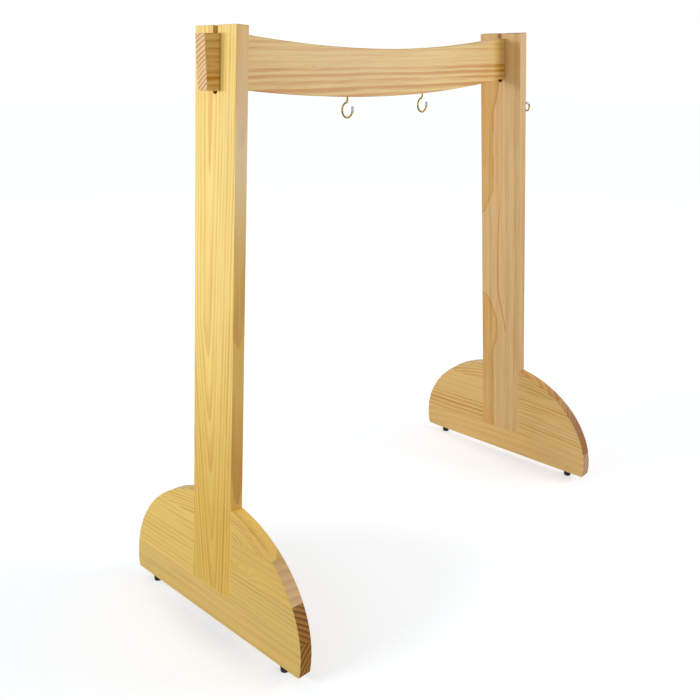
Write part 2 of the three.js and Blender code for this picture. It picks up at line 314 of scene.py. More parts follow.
def finish_piece(piece, node, body, slot):
    """Smooth a finished piece, and give it its name, its finish and the body it moves with."""
    piece.name = piece.data.name = f"{node}_{slot}"
    take_up(piece)
    bpy.ops.object.shade_smooth_by_angle(angle=SMOOTH)
    apply_modifier(piece, 'WEIGHTED_NORMAL', keep_sharp=True)
    piece.data.materials.clear()
    piece.data.materials.append(finish_for(node, slot))
    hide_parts(node)
    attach(piece, body)
    return piece


def turned(profile, sides):
    """A turned piece: a half profile, pairs of radius and height, spun round the Z axis."""
    piece = new_piece('plane', size=0.001)
    radius, height = profile[0]
    with at_bench(piece):
        bpy.ops.mesh.merge(type='CENTER')
        bpy.ops.transform.translate(value=(radius, 0, height))
        for next_radius, next_height in profile[1:]:
            draw_out((next_radius - radius, 0, next_height - height))
            radius, height = next_radius, next_height
        bpy.ops.mesh.select_all(action='SELECT')
        bpy.ops.mesh.spin(steps=sides, angle=math.tau, center=(0, 0, 0), axis=(0, 0, 1))
        turn_outwards()
    return piece


# A turn of thread: how far up it, in shares, and whether it stands out there. Then the last
# ring before the point: its share of the core, and of a turn from the end
TURN, POINT = ((0.05, 0), (0.45, 1), (0.55, 1), (0.95, 0)), (0.7, 0.6)


def thread(core, depth, pitch, run, top):
    """Half profile of a thread, a ring for each turn, from its start up to a point."""
    ridges = [(core + depth * out, top + pitch * (turn + share))
              for turn in range(int(run / pitch) - 1) for share, out in TURN]
    return [*ridges, (core * POINT[0], top + run - pitch * POINT[1]), (0, top + run)]


def leaned(side):
    """Where a side frame stands: its own upright drawing, leaned and set apart."""
    wood = bpy.context.scene.stand_wood
    foot = bpy.context.scene.stand_foot
    return (Matrix.Translation((side * wood.frame_foot, 0, foot.height))
            @ Matrix.Rotation(-side * wood.splay, 4, 'Y'))


# Woodwork

def half_moon():
    """A base's glued-up blank: an ellipse cut flat below its middle, with its arrises eased."""
    wood = bpy.context.scene.stand_wood
    blank = new_piece('circle', vertices=MOON_SIDES, radius=1, fill_type='NGON',
                      rotation=(0, math.pi / 2, 0))

    def on_one_face(edge):
        return abs(edge.verts[0].co.x - edge.verts[1].co.x) < NEAR

    with at_bench(blank):
        bpy.ops.transform.resize(value=(1, wood.base_length / 2, wood.base_crown),
                                 center_override=(0, 0, 0))
        bpy.ops.transform.translate(value=(-wood.board / 2, 0, wood.base_belly))
        bpy.ops.mesh.bisect(plane_co=(0, 0, 0), plane_no=(0, 0, 1), clear_inner=True)
        bpy.ops.mesh.select_all(action='SELECT')
        draw_out((wood.board, 0, 0))
        turn_outwards()
        ease(blank, lambda edge: not on_one_face(edge) and all(
            corner.co.z < NEAR for corner in edge.verts), wood.base_corner, CORNER_STEPS)
        ease(blank, on_one_face, wood.arris)
        turn_outwards()
    return blank


def sawn(blank, *planes):
    """A copy of a blank that keeps what lies behind each plane, given as a point and a normal."""
    strip = copied(blank)
    with at_bench(strip):
        for point, normal in planes:
            bpy.ops.mesh.select_all(action='SELECT')
            bpy.ops.mesh.bisect(plane_co=point, plane_no=normal, clear_outer=True,
                                use_fill=True)
        turn_outwards()
    return strip


def dowel_places():
    """Each dowel's name, direction and middle, in the side frame's own drawing."""
    wood = bpy.context.scene.stand_wood
    for end, way in ENDS.items():
        yield f"foot_dowel_{end}", 'z', (0, way * wood.post_width / 4, wood.strip)
        for level, row in (("lower", 1), ("upper", 2)):
            yield (f"edge_dowel_{end}_{level}", 'y',
                   (0, way * wood.post_width / 2, (row + 0.5) * wood.strip))


def bored_for_dowels(piece):
    """Drill a piece for each dowel whose middle it holds or touches."""
    wood = bpy.context.scene.stand_wood
    spans = [(min(places) - NEAR, max(places) + NEAR)
             for places in zip(*(corner.co for corner in piece.data.vertices))]
    return cut(piece, *(
        drill(wood.dowel + 2 * wood.fit, wood.dowel_length + 2 * wood.fit, axis, centre)
        for _, axis, centre in dowel_places()
        if all(low < place < high for place, (low, high) in zip(centre, spans))))


def base_strips():
    """The seven strips of a base, each with its name, as drawn for either side frame."""
    wood = bpy.context.scene.stand_wood
    foot = bpy.context.scene.stand_foot
    blank = half_moon()
    sill = bored_for_dowels(sawn(blank, ((0, 0, wood.strip), (0, 0, 1))))
    yield "sill", cut(sill, *(
        drill(foot.shank + 2 * (foot.depth + wood.fit), 2 * foot.bite, 'z',
              (0, way * foot.spread, 0)) for way in ENDS.values()))
    for row, level in enumerate(("lower", "middle", "upper"), start=1):
        for end, way in ENDS.items():
            yield f"{end}_{level}_strip", bored_for_dowels(sawn(
                blank,
                ((0, 0, row * wood.strip), (0, 0, -1)),
                ((0, 0, (row + 1) * wood.strip), (0, 0, 1)),
                ((0, way * wood.post_width / 2, 0), (0, -way, 0))))
    scrap(blank)


def plain_post():
    """A post with its slot, its arrises eased where they stand clear of the base."""
    wood = bpy.context.scene.stand_wood
    half, edge_y = wood.board / 2, wood.post_width / 2
    post = block((-half, -edge_y, wood.strip), (half, edge_y, wood.frame_height))
    crown = wood.base_belly + wood.base_crown * math.sqrt(
        1 - (wood.post_width / wood.base_length) ** 2)

    def is_arris(edge):
        low, high = sorted(corner.co.z for corner in edge.verts)
        return low > crown - NEAR and high > wood.frame_height - NEAR

    with at_bench(post):
        bpy.ops.mesh.bisect(plane_co=(0, 0, crown), plane_no=(0, 0, 1))
        ease(post, is_arris, wood.arris)
        turn_outwards()
    seat = wood.frame_height - wood.slot_depth
    return bored_for_dowels(cut(
        post,
        drill(wood.slot_width, 2 * wood.board, 'x', (0, 0, seat)),
        block((-wood.board, -wood.slot_width / 2, seat),
              (wood.board, wood.slot_width / 2, wood.frame_height + wood.board))))


def bow_drop(x):
    """How far the crossbeam hangs below its ends at a place along it."""
    wood = bpy.context.scene.stand_wood
    half = wood.beam_bow_span / 2
    radius = (half ** 2 + wood.beam_bow ** 2) / (2 * wood.beam_bow)
    return math.sqrt(radius ** 2 - min(abs(x), half) ** 2) - (radius - wood.beam_bow)


def beam_bottom():
    """Height of the crossbeam's underside at its ends."""
    wood = bpy.context.scene.stand_wood
    foot = bpy.context.scene.stand_foot
    return foot.height + (wood.frame_height - wood.slot_depth) * math.cos(wood.splay)


def bowed_board():
    """The crossbeam before its joints: its section drawn out step by step along the bow."""
    wood = bpy.context.scene.stand_wood
    stations = [wood.beam_bow_span * (step / BOW_STEPS - 0.5) for step in range(BOW_STEPS + 1)]
    stations = [-wood.beam_length / 2, *stations, wood.beam_length / 2]
    middle = (stations[0], 0, beam_bottom() + wood.beam_height / 2)
    beam = new_piece('plane', size=1, rotation=(0, math.pi / 2, 0), location=middle)
    with at_bench(beam):
        bpy.ops.transform.resize(value=(1, wood.board, wood.beam_height),
                                 center_override=middle)
        pick(beam, 'verts', lambda corner: corner.co.y > 0 and corner.co.z < middle[2])
        bpy.ops.mesh.bevel(offset=wood.beam_round, segments=ROUND_STEPS, affect='VERTICES')
        bpy.ops.mesh.select_all(action='SELECT')
        for here, there in zip(stations, stations[1:]):
            draw_out((there - here, 0, bow_drop(here) - bow_drop(there)))
        turn_outwards()
        ease(beam, lambda edge: edge.calc_face_angle(0) > SHARP, wood.arris)
        turn_outwards()
    return beam


def housing_cutters(side):
    """What is sawn off the crossbeam's end to leave a tongue for the slot of one post."""
    wood = bpy.context.scene.stand_wood
    tongue = wood.slot_width / 2 - wood.fit
    shoulder = wood.board / 2 + wood.shoulder
    low = wood.frame_height - wood.slot_depth - wood.beam_height / 2
    high = wood.frame_height + wood.beam_height / 2
    seat = wood.frame_height - wood.slot_depth + wood.fit
    for corners in (((-shoulder, -wood.board, low), (shoulder, -tongue, high)),
                    ((-shoulder, tongue, low), (shoulder, wood.board, high)),
                    ((-shoulder, -wood.board, low), (shoulder, wood.board, seat))):
        yield put(block(*corners), leaned(side))


# Hooks

# The dome on a cap: where it starts and how high it is, as shares of its radius, and its steps
CAP_DOME_START, CAP_DOME_HEIGHT, CAP_DOME_STEPS = 0.6, 0.75, 6


def gong_hook_mouth(side):
    """Where one of the gong's hooks enters the crossbeam."""
    x = side * bpy.context.scene.stand_gong_hook.spacing / 2
    return Vector((x, 0, beam_bottom() - bow_drop(x)))


def mallet_hook_mouth():
    """Where the mallet's hook enters the right post, in the frame's own drawing."""
    wood, hook = bpy.context.scene.stand_wood, bpy.context.scene.stand_mallet_hook
    return Vector((wood.board / 2, hook.inset - wood.post_width / 2,
                   wood.frame_height - hook.drop))


def pilot_hole(hook, axis, mouth):
    """The cutter for a hook's shank, from its mouth into the wood."""
    fit = bpy.context.scene.stand_wood.fit
    return drill(hook.wire + 2 * fit, 2 * (hook.thread + hook.wire + fit), axis, mouth)


def wire_at_ring(hook, radius):
    """A round section of wire on the ring's open side, where both bends start."""
    return new_piece('circle', vertices=WIRE_SIDES, radius=radius, location=(hook.ring, 0, 0))


def bend(turn, centre=(0, 0, 0)):
    """Spin what is selected about the Y direction, anticlockwise as seen from the front."""
    bpy.ops.mesh.spin(steps=max(2, round(abs(turn) / BEND_STEP)), angle=turn,
                      center=centre, axis=(0, 1, 0))


def bend_to_tip(piece, hook, turn, radius, steps=4):
    """Bend the wire to its tip, close it with a dome, and go back to where it started."""
    bend(turn)
    tip = Vector((math.cos(turn), 0, math.sin(turn)))
    centre, along = tip * hook.ring, Vector((-tip.z, 0, tip.x))
    for step in range(1, steps):
        here, last = (math.pi / 2 * share / steps for share in (step, step - 1))
        move = along * radius * (math.sin(here) - math.sin(last))
        centre = centre + move
        draw_out(move, math.cos(here) / math.cos(last), centre)
    bpy.ops.mesh.edge_face_add()
    pick(piece, 'verts', lambda corner: abs(corner.co.z) < NEAR and corner.co.x > 0)


def bent_hook(hook):
    """A screw hook: ring round the origin, open to +X, with its shank up and threaded."""
    radius, height = hook.wire / 2, hook.reach
    span = hook.ring + hook.neck
    neck_height, neck_turn = math.sqrt(span ** 2 - hook.neck ** 2), math.acos(hook.neck / span)
    piece = wire_at_ring(hook, radius)
    with at_bench(piece):
        bend_to_tip(piece, hook, hook.tip, radius)
        bend(-(math.pi + neck_turn))
        bend(neck_turn, (-hook.neck, 0, neck_height))
        draw_out((0, 0, height - neck_height))
        for next_radius, next_height in thread(
                radius - hook.depth, hook.depth, hook.pitch, hook.thread, height + hook.wire):
            draw_out((0, 0, next_height - height), next_radius / radius, (0, 0, next_height))
            radius, height = next_radius, next_height
        bpy.ops.mesh.merge(type='CENTER')
        turn_outwards()
    return piece


def hook_cap(hook):
    """The soft cap over a hook's tip, a hollow sleeve with a domed end."""
    wall = hook.cap_gap + hook.cap_wall
    outside = hook.wire / 2 + wall
    piece = wire_at_ring(hook, outside)
    with at_bench(piece):
        bend_to_tip(piece, hook, hook.tip + (wall - outside * CAP_DOME_START) / hook.ring,
                    outside * CAP_DOME_HEIGHT, CAP_DOME_STEPS)
        bend(hook.tip - hook.cap / hook.ring)
        turn_outwards()
    apply_modifier(piece, 'SOLIDIFY', thickness=hook.cap_wall, offset=-1)
    return piece


# Feet

# The screw's head: its straight rim and the cross's depth as shares of its height, and the
# cross's arms and half their width as shares of its diameter
HEAD_RIM, CROSS_DEPTH, CROSS_ARM, CROSS_WEB = 0.35, 0.6, 0.28, 0.07
DOME_STEPS = 6


def rubber_foot(side):
    """A rubber foot about its own axis, with its sole cut level for a frame that leans."""
    foot = bpy.context.scene.stand_foot
    wood = bpy.context.scene.stand_wood
    sole = -foot.height / math.cos(wood.splay)
    floor_of_recess = foot.recess_depth - foot.height
    edge = foot.edge
    slope = (foot.top - foot.sole) / 2 / foot.height
    piece = turned([
        (foot.hole / 2, -wood.fit),
        (foot.hole / 2, floor_of_recess),
        (foot.recess / 2, floor_of_recess),
        (foot.recess / 2, sole + edge / 2),
        (foot.recess / 2 + edge / 3, sole),
        (foot.sole / 2 - edge, sole),
        (foot.sole / 2 - edge * 0.4, sole + edge * 0.15),
        (foot.sole / 2 - edge * 0.05 + slope * edge, sole + edge * 0.6),
        (foot.sole / 2 + 1.4 * slope * edge, sole + edge * 1.4),
        (foot.top / 2 - slope * edge, -wood.fit - edge),
        (foot.top / 2 - edge * 0.15, -wood.fit - edge * 0.4),
        (foot.top / 2 - edge * 0.5, -wood.fit),
        (foot.hole / 2, -wood.fit)], FOOT_SIDES)
    with at_bench(piece):
        pick(piece, 'verts', lambda corner: corner.co.z < sole + edge)
        bpy.ops.transform.rotate(value=-side * wood.splay, orient_axis='Y',
                                 center_override=(0, 0, sole))
    return piece


def foot_washer():
    """The washer in a foot's recess."""
    foot = bpy.context.scene.stand_foot
    fit = bpy.context.scene.stand_wood.fit
    top = foot.recess_depth - foot.height - fit
    bottom = top - foot.washer_thickness
    edge = foot.washer_thickness * 0.2
    return turned([
        (foot.hole / 2, bottom), (foot.washer / 2 - edge, bottom),
        (foot.washer / 2, bottom + edge), (foot.washer / 2, top),
        (foot.hole / 2, top), (foot.hole / 2, bottom)], WASHER_SIDES)


def foot_screw():
    """The screw that holds a foot: a domed head with a cross recess, pointing up."""
    foot = bpy.context.scene.stand_foot
    fit = bpy.context.scene.stand_wood.fit
    top = foot.recess_depth - foot.height - 2 * fit - foot.washer_thickness
    turns = [math.pi / 2 * step / DOME_STEPS for step in range(DOME_STEPS + 1)]
    dome = [(foot.head / 2 * math.sin(turn), top - foot.head_height * (
        HEAD_RIM + (1 - HEAD_RIM) * math.cos(turn))) for turn in turns]
    profile = [*dome, (foot.head / 2, top)] + thread(
        foot.shank / 2, foot.depth, foot.pitch, foot.bite - top, top)
    deep = foot.head_height * CROSS_DEPTH
    arm, web = foot.head * CROSS_ARM, foot.head * CROSS_WEB
    bottom = top - foot.head_height
    return cut(
        turned(profile, SCREW_SIDES),
        block((-arm, -web, bottom - deep), (arm, web, bottom + deep)),
        block((-web, -arm, bottom - deep), (web, arm, bottom + deep)))


# Finishes

def linear(colour):
    """A colour as written on screen, in the linear measure that nodes work in."""
    return tuple(part / 12.92 if part <= 0.04045 else ((part + 0.055) / 1.055) ** 2.4
                 for part in colour)


class Signal:
    """A value on its way between nodes. Sums and products of signals add Math nodes."""

    def __init__(self, nodes, socket):
        self.nodes, self.socket = nodes, socket

    def __add__(self, other):
        return self.nodes.maths('ADD', self, other)

    def __sub__(self, other):
        return self.nodes.maths('SUBTRACT', self, other)

    def __rsub__(self, other):
        return self.nodes.maths('SUBTRACT', other, self)

    def __mul__(self, other):
        return self.nodes.maths('MULTIPLY', self, other)

    def __truediv__(self, other):
        return self.nodes.maths('DIVIDE', self, other)

    __radd__, __rmul__ = __add__, __mul__


class Nodes:
    """The nodes of one material or world, from an empty sheet."""

    def __init__(self, owner):
        owner.use_nodes = True
        self.tree = owner.node_tree
        self.tree.nodes.clear()

    def feed(self, socket, value):
        """Link a signal to a socket, or set a plain value on it."""
        if isinstance(value, Signal):
            self.tree.links.new(value.socket, socket)
        elif socket.type == 'RGBA':
            socket.default_value = (*value, 1)
        else:
            socket.default_value = value

    def node(self, kind, settings=None, output=None, inputs=(), **sockets):
        """Add a node: its type, its settings, the output to use, and what its sockets get, in
        their order or by name."""
        made = self.tree.nodes.new("ShaderNode" + kind)
        for setting, value in (settings or {}).items():
            setattr(made, setting, value)
        for socket, value in zip(made.inputs, inputs):
            self.feed(socket, value)
        for name, value in sockets.items():
            label = name.replace("_", " ")
            self.feed(next(s for s in made.inputs if s.enabled and s.name == label), value)
        results = [s for s in made.outputs if s.enabled and output in (None, s.name)]
        return Signal(self, results[0]) if results else made

    def maths(self, operation, *values):
        """Work out one value from others."""
        return self.node('Math', {'operation': operation}, inputs=values)

    def parts(self, vector):
        """The three parts of a vector."""
        split = self.node('SeparateXYZ', inputs=(vector,)).socket.node
        return [Signal(self, socket) for socket in split.outputs]

    def rise(self, value, low, high, start=0.0, end=1.0):
        """Go smoothly from start to end while a value goes from low to high."""
        return self.node('MapRange', {'interpolation_type': 'SMOOTHSTEP'}, Value=value,
                         From_Min=low, From_Max=high, To_Min=start, To_Max=end)

    def hump(self, value, middle, width):
        """1 at the middle, falling off to nothing on both sides."""
        away = (value - middle) / width
        return self.maths('EXPONENT', away * away * -1.0)

    def noise(self, spot, lumps, detail=2.0, roughness=0.5, shift=(0, 0, 0)):
        """Soft noise about 0, with so many lumps to the metre each way."""
        for operation, by in (('MULTIPLY', lumps), ('ADD', shift)):
            spot = self.node('VectorMath', {'operation': operation}, inputs=(spot, by))
        return self.node('TexNoise', Vector=spot, Scale=1.0, Detail=detail,
                         Roughness=roughness) - 0.5

    def blend(self, share, first, second, kind='MIX'):
        """Mix two colours."""
        return self.node('Mix', {'data_type': 'RGBA', 'blend_type': kind}, Factor=share,
                         A=first, B=second)

    def brighten(self, colour, by):
        """Scale a colour's brightness."""
        return self.node('VectorMath', {'operation': 'SCALE'}, Vector=colour, Scale=by)

    def shaded(self, colour, roughness, relief, depth, **constants):
        """End in the surface shader. The relief is a height, and depth what 1 of it stands for."""
        bumped = self.node('Bump', Height=relief, Distance=depth, Strength=1.0)
        self.node('OutputMaterial', Surface=self.node(
            'BsdfPrincipled', Base_Color=colour, Roughness=roughness, Normal=bumped, **constants))


@dataclass
class Board:
    """How one board was sawn from its log, and its tones. Metres, in the board's own drawing:
    depth outwards through its thickness, across its width, and along its grain."""
    # Which axes those are, and its side frame
    axes: str = "xzy"
    side: int = 0
    # The rings: their middle, width and unevenness, and what bends them
    pith: tuple = (0.0, -0.15)
    ring: float = 0.010
    phase: float = 0.0
    uneven: float = 0.8
    wave: float = 0.0015
    arch: float = 0.0
    drift: tuple = ()
    swirls: tuple = ()
    knots: tuple = ()
    # How strongly they show
    contrast: float = 0.8
    patchy: float = 1.8
    streaks: float = 0.5
    fade: tuple = ()
    # A tongue of other wood and a thin vein, each along a line that wanders
    tongue: tuple = ()
    vein: tuple = ()
    # Tones of early and late wood, and how many times closer the rings lie on an end
    pale: tuple = (0.93, 0.80, 0.50)
    dark: tuple = (0.80, 0.62, 0.32)
    end_pale: tuple = (0.80, 0.64, 0.42)
    end_dark: tuple = (0.55, 0.38, 0.20)
    fine: float = 1.0
    # Tints of the narrow edges (partly the wood's own tone, partly painted light and shade), of a
    # painted sheen on them, of the foot (partly the wood's own tone, partly painted shade) and of
    # painted shade and light in the slot's bottom
    edge: tuple = (1.0, 1.0, 1.0)
    painted_sheen: tuple = ()
    foot: tuple = (1.0, 1.0, 1.0)
    hole: tuple = ()
    seed: float = 0.0


def drawn_as(nodes, board):
    """Place and facing of a board's surface in its own upright drawing, by axis."""
    scene = bpy.context.scene
    place, lean = (0.0, 0.0, beam_bottom()), 0.0
    if board.side:
        place = (board.side * scene.stand_wood.frame_foot, 0.0, scene.stand_foot.height)
        lean = -board.side * scene.stand_wood.splay
    spot = nodes.node('Mapping', {'vector_type': 'TEXTURE'},
                      Vector=nodes.node('TexCoord', {}, 'Object'),
                      Location=place, Rotation=(0.0, lean, 0.0))
    facing = nodes.node('Mapping', {'vector_type': 'VECTOR'},
                        Vector=nodes.node('TexCoord', {}, 'Normal'),
                        Rotation=(0.0, -lean, 0.0))
    spot, facing = (dict(zip("xyz", nodes.parts(vector))) for vector in (spot, facing))
    if board.side:
        spot["x"] = spot["x"] * float(board.side)
    return spot, facing


def border_along(nodes, along, level, steps):
    """A wandering line on a board: its level, and soft steps in it between places along."""
    for low, high, change in steps:
        level = nodes.rise(along, low, high, 0.0, change) + level
    return level


# The layers of noise in pine: lumps to the metre across and along its grain, detail, roughness
GRAIN = {
    "slow": (9, 4.5, 1.0, 0.5), "quick": (55, 18, 2.0, 0.5), "patch": (45, 5.5, 2.0, 0.5),
    "streak": (260, 7, 3.0, 0.6), "fibre": (700, 14, 3.0, 0.6), "pores": (2300, 110, 1.0, 0.5),
    "cloud": (12, 3, 2.0, 0.5), "resin": (1250, 70, 1.0, 0.5)}
# How far slow and quick noise bend the rings, in waves, and lumps to a ring in their spacing
BENDS, SPACING = (4, 1.1), (0.45, 0, 0)
# Where late wood darkens in its ring, and where it stops, on the faces and on the end grain
FACE_LATE, END_LATE = ((0.22, 0.92), (0.955, 1.0)), ((0.30, 0.90), (0.95, 1.0))
# The tongue's soft edge, and the place, spread and tone of the line along it
TONGUE_EDGE, TONGUE_LINE, TONGUE_TONE = (-0.0012, 0.0028), (0.0020, 0.0030), (0.93, 0.85, 0.72)
# The vein's place and spread, and those of the light beside it
VEIN, VEIN_LIGHT = (0.0, 0.0016), (-0.0035, 0.0020)
# How squarely a surface faces along the board's width or length to be an edge or an end
ON_EDGE, ON_END = (0.4, 0.9), (0.30, 0.92)


def late_wood(nodes, years, darkens, stops):
    """Share of late wood at a place in the rings."""
    in_ring = nodes.maths('FRACT', years)
    return nodes.rise(in_ring, *darkens) * nodes.rise(in_ring, *stops, 1.0, 0.0)


def pine(nodes, board):
    """Clear-finished pine, with growth rings that run through the whole board."""
    spot, facing = drawn_as(nodes, board)
    depth, across, along = (spot[axis] for axis in board.axes)
    narrow, end = (nodes.maths('ABSOLUTE', facing[axis]) for axis in board.axes[1:])
    place = nodes.node('CombineXYZ', X=depth, Y=across, Z=along)
    slow, quick, patch, streak, fibre, pores, cloud, resin = (
        nodes.noise(place, (wide, wide, tall), detail, roughness, (0, 0, board.seed))
        for wide, tall, detail, roughness in GRAIN.values())

    # Growth rings: how far out from the pith, counted in rings
    aside, inward = across - board.pith[1], depth - board.pith[0]
    strayed = slow * (BENDS[0] * board.wave) + quick * (BENDS[1] * board.wave)
    for start, growth, shift in board.drift:
        below = nodes.maths('MAXIMUM', start - along, 0.0)
        aside = aside - below * shift
        strayed = strayed + below * growth
    radius = nodes.maths('SQRT', aside * aside + inward * inward) + strayed
    rings = (radius + along * along * board.arch) / board.ring + board.phase
    for at, up, length_along, width_across, lift in board.swirls:
        rings = rings + (nodes.hump(along, at, length_along)
                         * nodes.hump(across, up, width_across) * lift)
    years = rings + nodes.noise(nodes.node('CombineXYZ', X=rings), SPACING,
                                shift=(0, board.seed, 0)) * board.uneven
    late = late_wood(nodes, years, *FACE_LATE)
    luck = nodes.node('TexWhiteNoise', {'noise_dimensions': '1D'},
                      W=nodes.maths('FLOOR', years) + board.seed)
    strength = (luck * 0.6 + 0.45) * (patch * board.patchy + 1.0) * board.contrast
    if board.fade:
        low, high, rest = board.fade
        strength = strength * nodes.rise(rings, low, high, 1.0, rest)
    streak = streak * board.streaks
    lines = nodes.maths('MINIMUM', nodes.maths(
        'MAXIMUM', late * strength + streak + 0.06, 0.0), 1.0)

    # Tones of the long faces, of the edges and of the end grain, with painted light and shade on
    # some boards
    wood = nodes.blend(lines, linear(board.pale), linear(board.dark))
    if board.tongue:
        level, steps, colour = board.tongue
        beyond = (across - border_along(nodes, along, level, steps)
                  + (quick * 0.010 + streak * 0.004))
        wood = nodes.blend(nodes.rise(beyond, *TONGUE_EDGE) * (slow * 1.2 + 0.8), wood,
                           linear(colour), 'MULTIPLY')
        wood = nodes.blend(nodes.hump(beyond, *TONGUE_LINE) * (quick * 1.2 + 0.8), wood,
                           linear(TONGUE_TONE), 'MULTIPLY')
    if board.vein:
        level, steps, (low, high), colour = board.vein
        beside = across - border_along(nodes, along, level, steps) + quick * 0.001
        shown = nodes.rise(along, low, low + 0.01) * nodes.rise(along, high, high + 0.3, 1.0, 0.35)
        wood = nodes.blend(nodes.hump(beside, *VEIN) * shown, wood, linear(colour), 'MULTIPLY')
        wood = nodes.brighten(wood, nodes.hump(beside, *VEIN_LIGHT) * shown * 0.07 + 1.0)
    # Narrow edges get their own tint: partly the wood's own tone, partly painted light and shade
    # for the way each edge faces the lamps
    on_edge = nodes.rise(narrow, *ON_EDGE)
    wood = nodes.blend(on_edge, wood, board.edge, 'MULTIPLY')
    # A painted sheen: a pale highlight painted on the narrow edges about one place along the board
    if board.painted_sheen:
        at, spread, colour = board.painted_sheen
        wood = nodes.blend(nodes.hump(along, at, spread) * on_edge * 0.55, wood, linear(colour))
    # Darker and warmer towards the foot, less so on the edges: partly the wood's own tone, partly
    # painted shade
    wood = nodes.blend(nodes.rise(spot["z"], 0.80, 0.20) * (on_edge * -0.45 + 1.0), wood,
                       board.foot, 'MULTIPLY')
    cut_across = nodes.rise(end, *ON_END)
    if board.fine > 1.0:
        late = late_wood(nodes, years * board.fine, *END_LATE)
    wood = nodes.blend(cut_across, wood, nodes.blend(
        nodes.maths('MINIMUM', late * 1.1 * (luck * 0.4 + 0.7), 1.0),
        linear(board.end_pale), linear(board.end_dark)))
    # Painted shade and light in the slot's round bottom below the beam: darker on the left post,
    # lighter and more orange on the right
    if board.hole:
        sizes = bpy.context.scene.stand_wood
        wall = sizes.slot_width / 2
        below = nodes.maths('MAXIMUM', sizes.frame_height - sizes.slot_depth - spot["z"], 0.0)
        off = nodes.maths('SQRT', below * below + spot["y"] * spot["y"])
        bored = nodes.rise(off, wall + 0.0008, wall + 0.0001) * nodes.rise(below, 0.0, 0.0006)
        wood = nodes.blend(bored, wood, board.hole, 'MULTIPLY')

    # Fibres, pores and resin dashes, in tone and in relief
    dashes = nodes.rise(resin, 0.19, 0.27)
    tone = fibre * 0.16 + pores * 0.08 + cloud * 0.14 - dashes * 0.08 + 1.0
    for at, up, size in board.knots:
        tone = tone - nodes.hump(along, at, size * 1.6) * nodes.hump(across, up, size) * 0.3
    roughness = lines * -0.05 + fibre * 0.12 + cut_across * 0.12 + 0.42
    relief = lines * 0.5 + fibre * 0.5 + pores * 0.35 - dashes * 0.4
    nodes.shaded(nodes.brighten(wood, tone), roughness, relief, 0.00006,
                 Coat_Weight=cut_across * -0.06 + 0.06, Coat_Roughness=0.25,
                 Specular_IOR_Level=0.36)


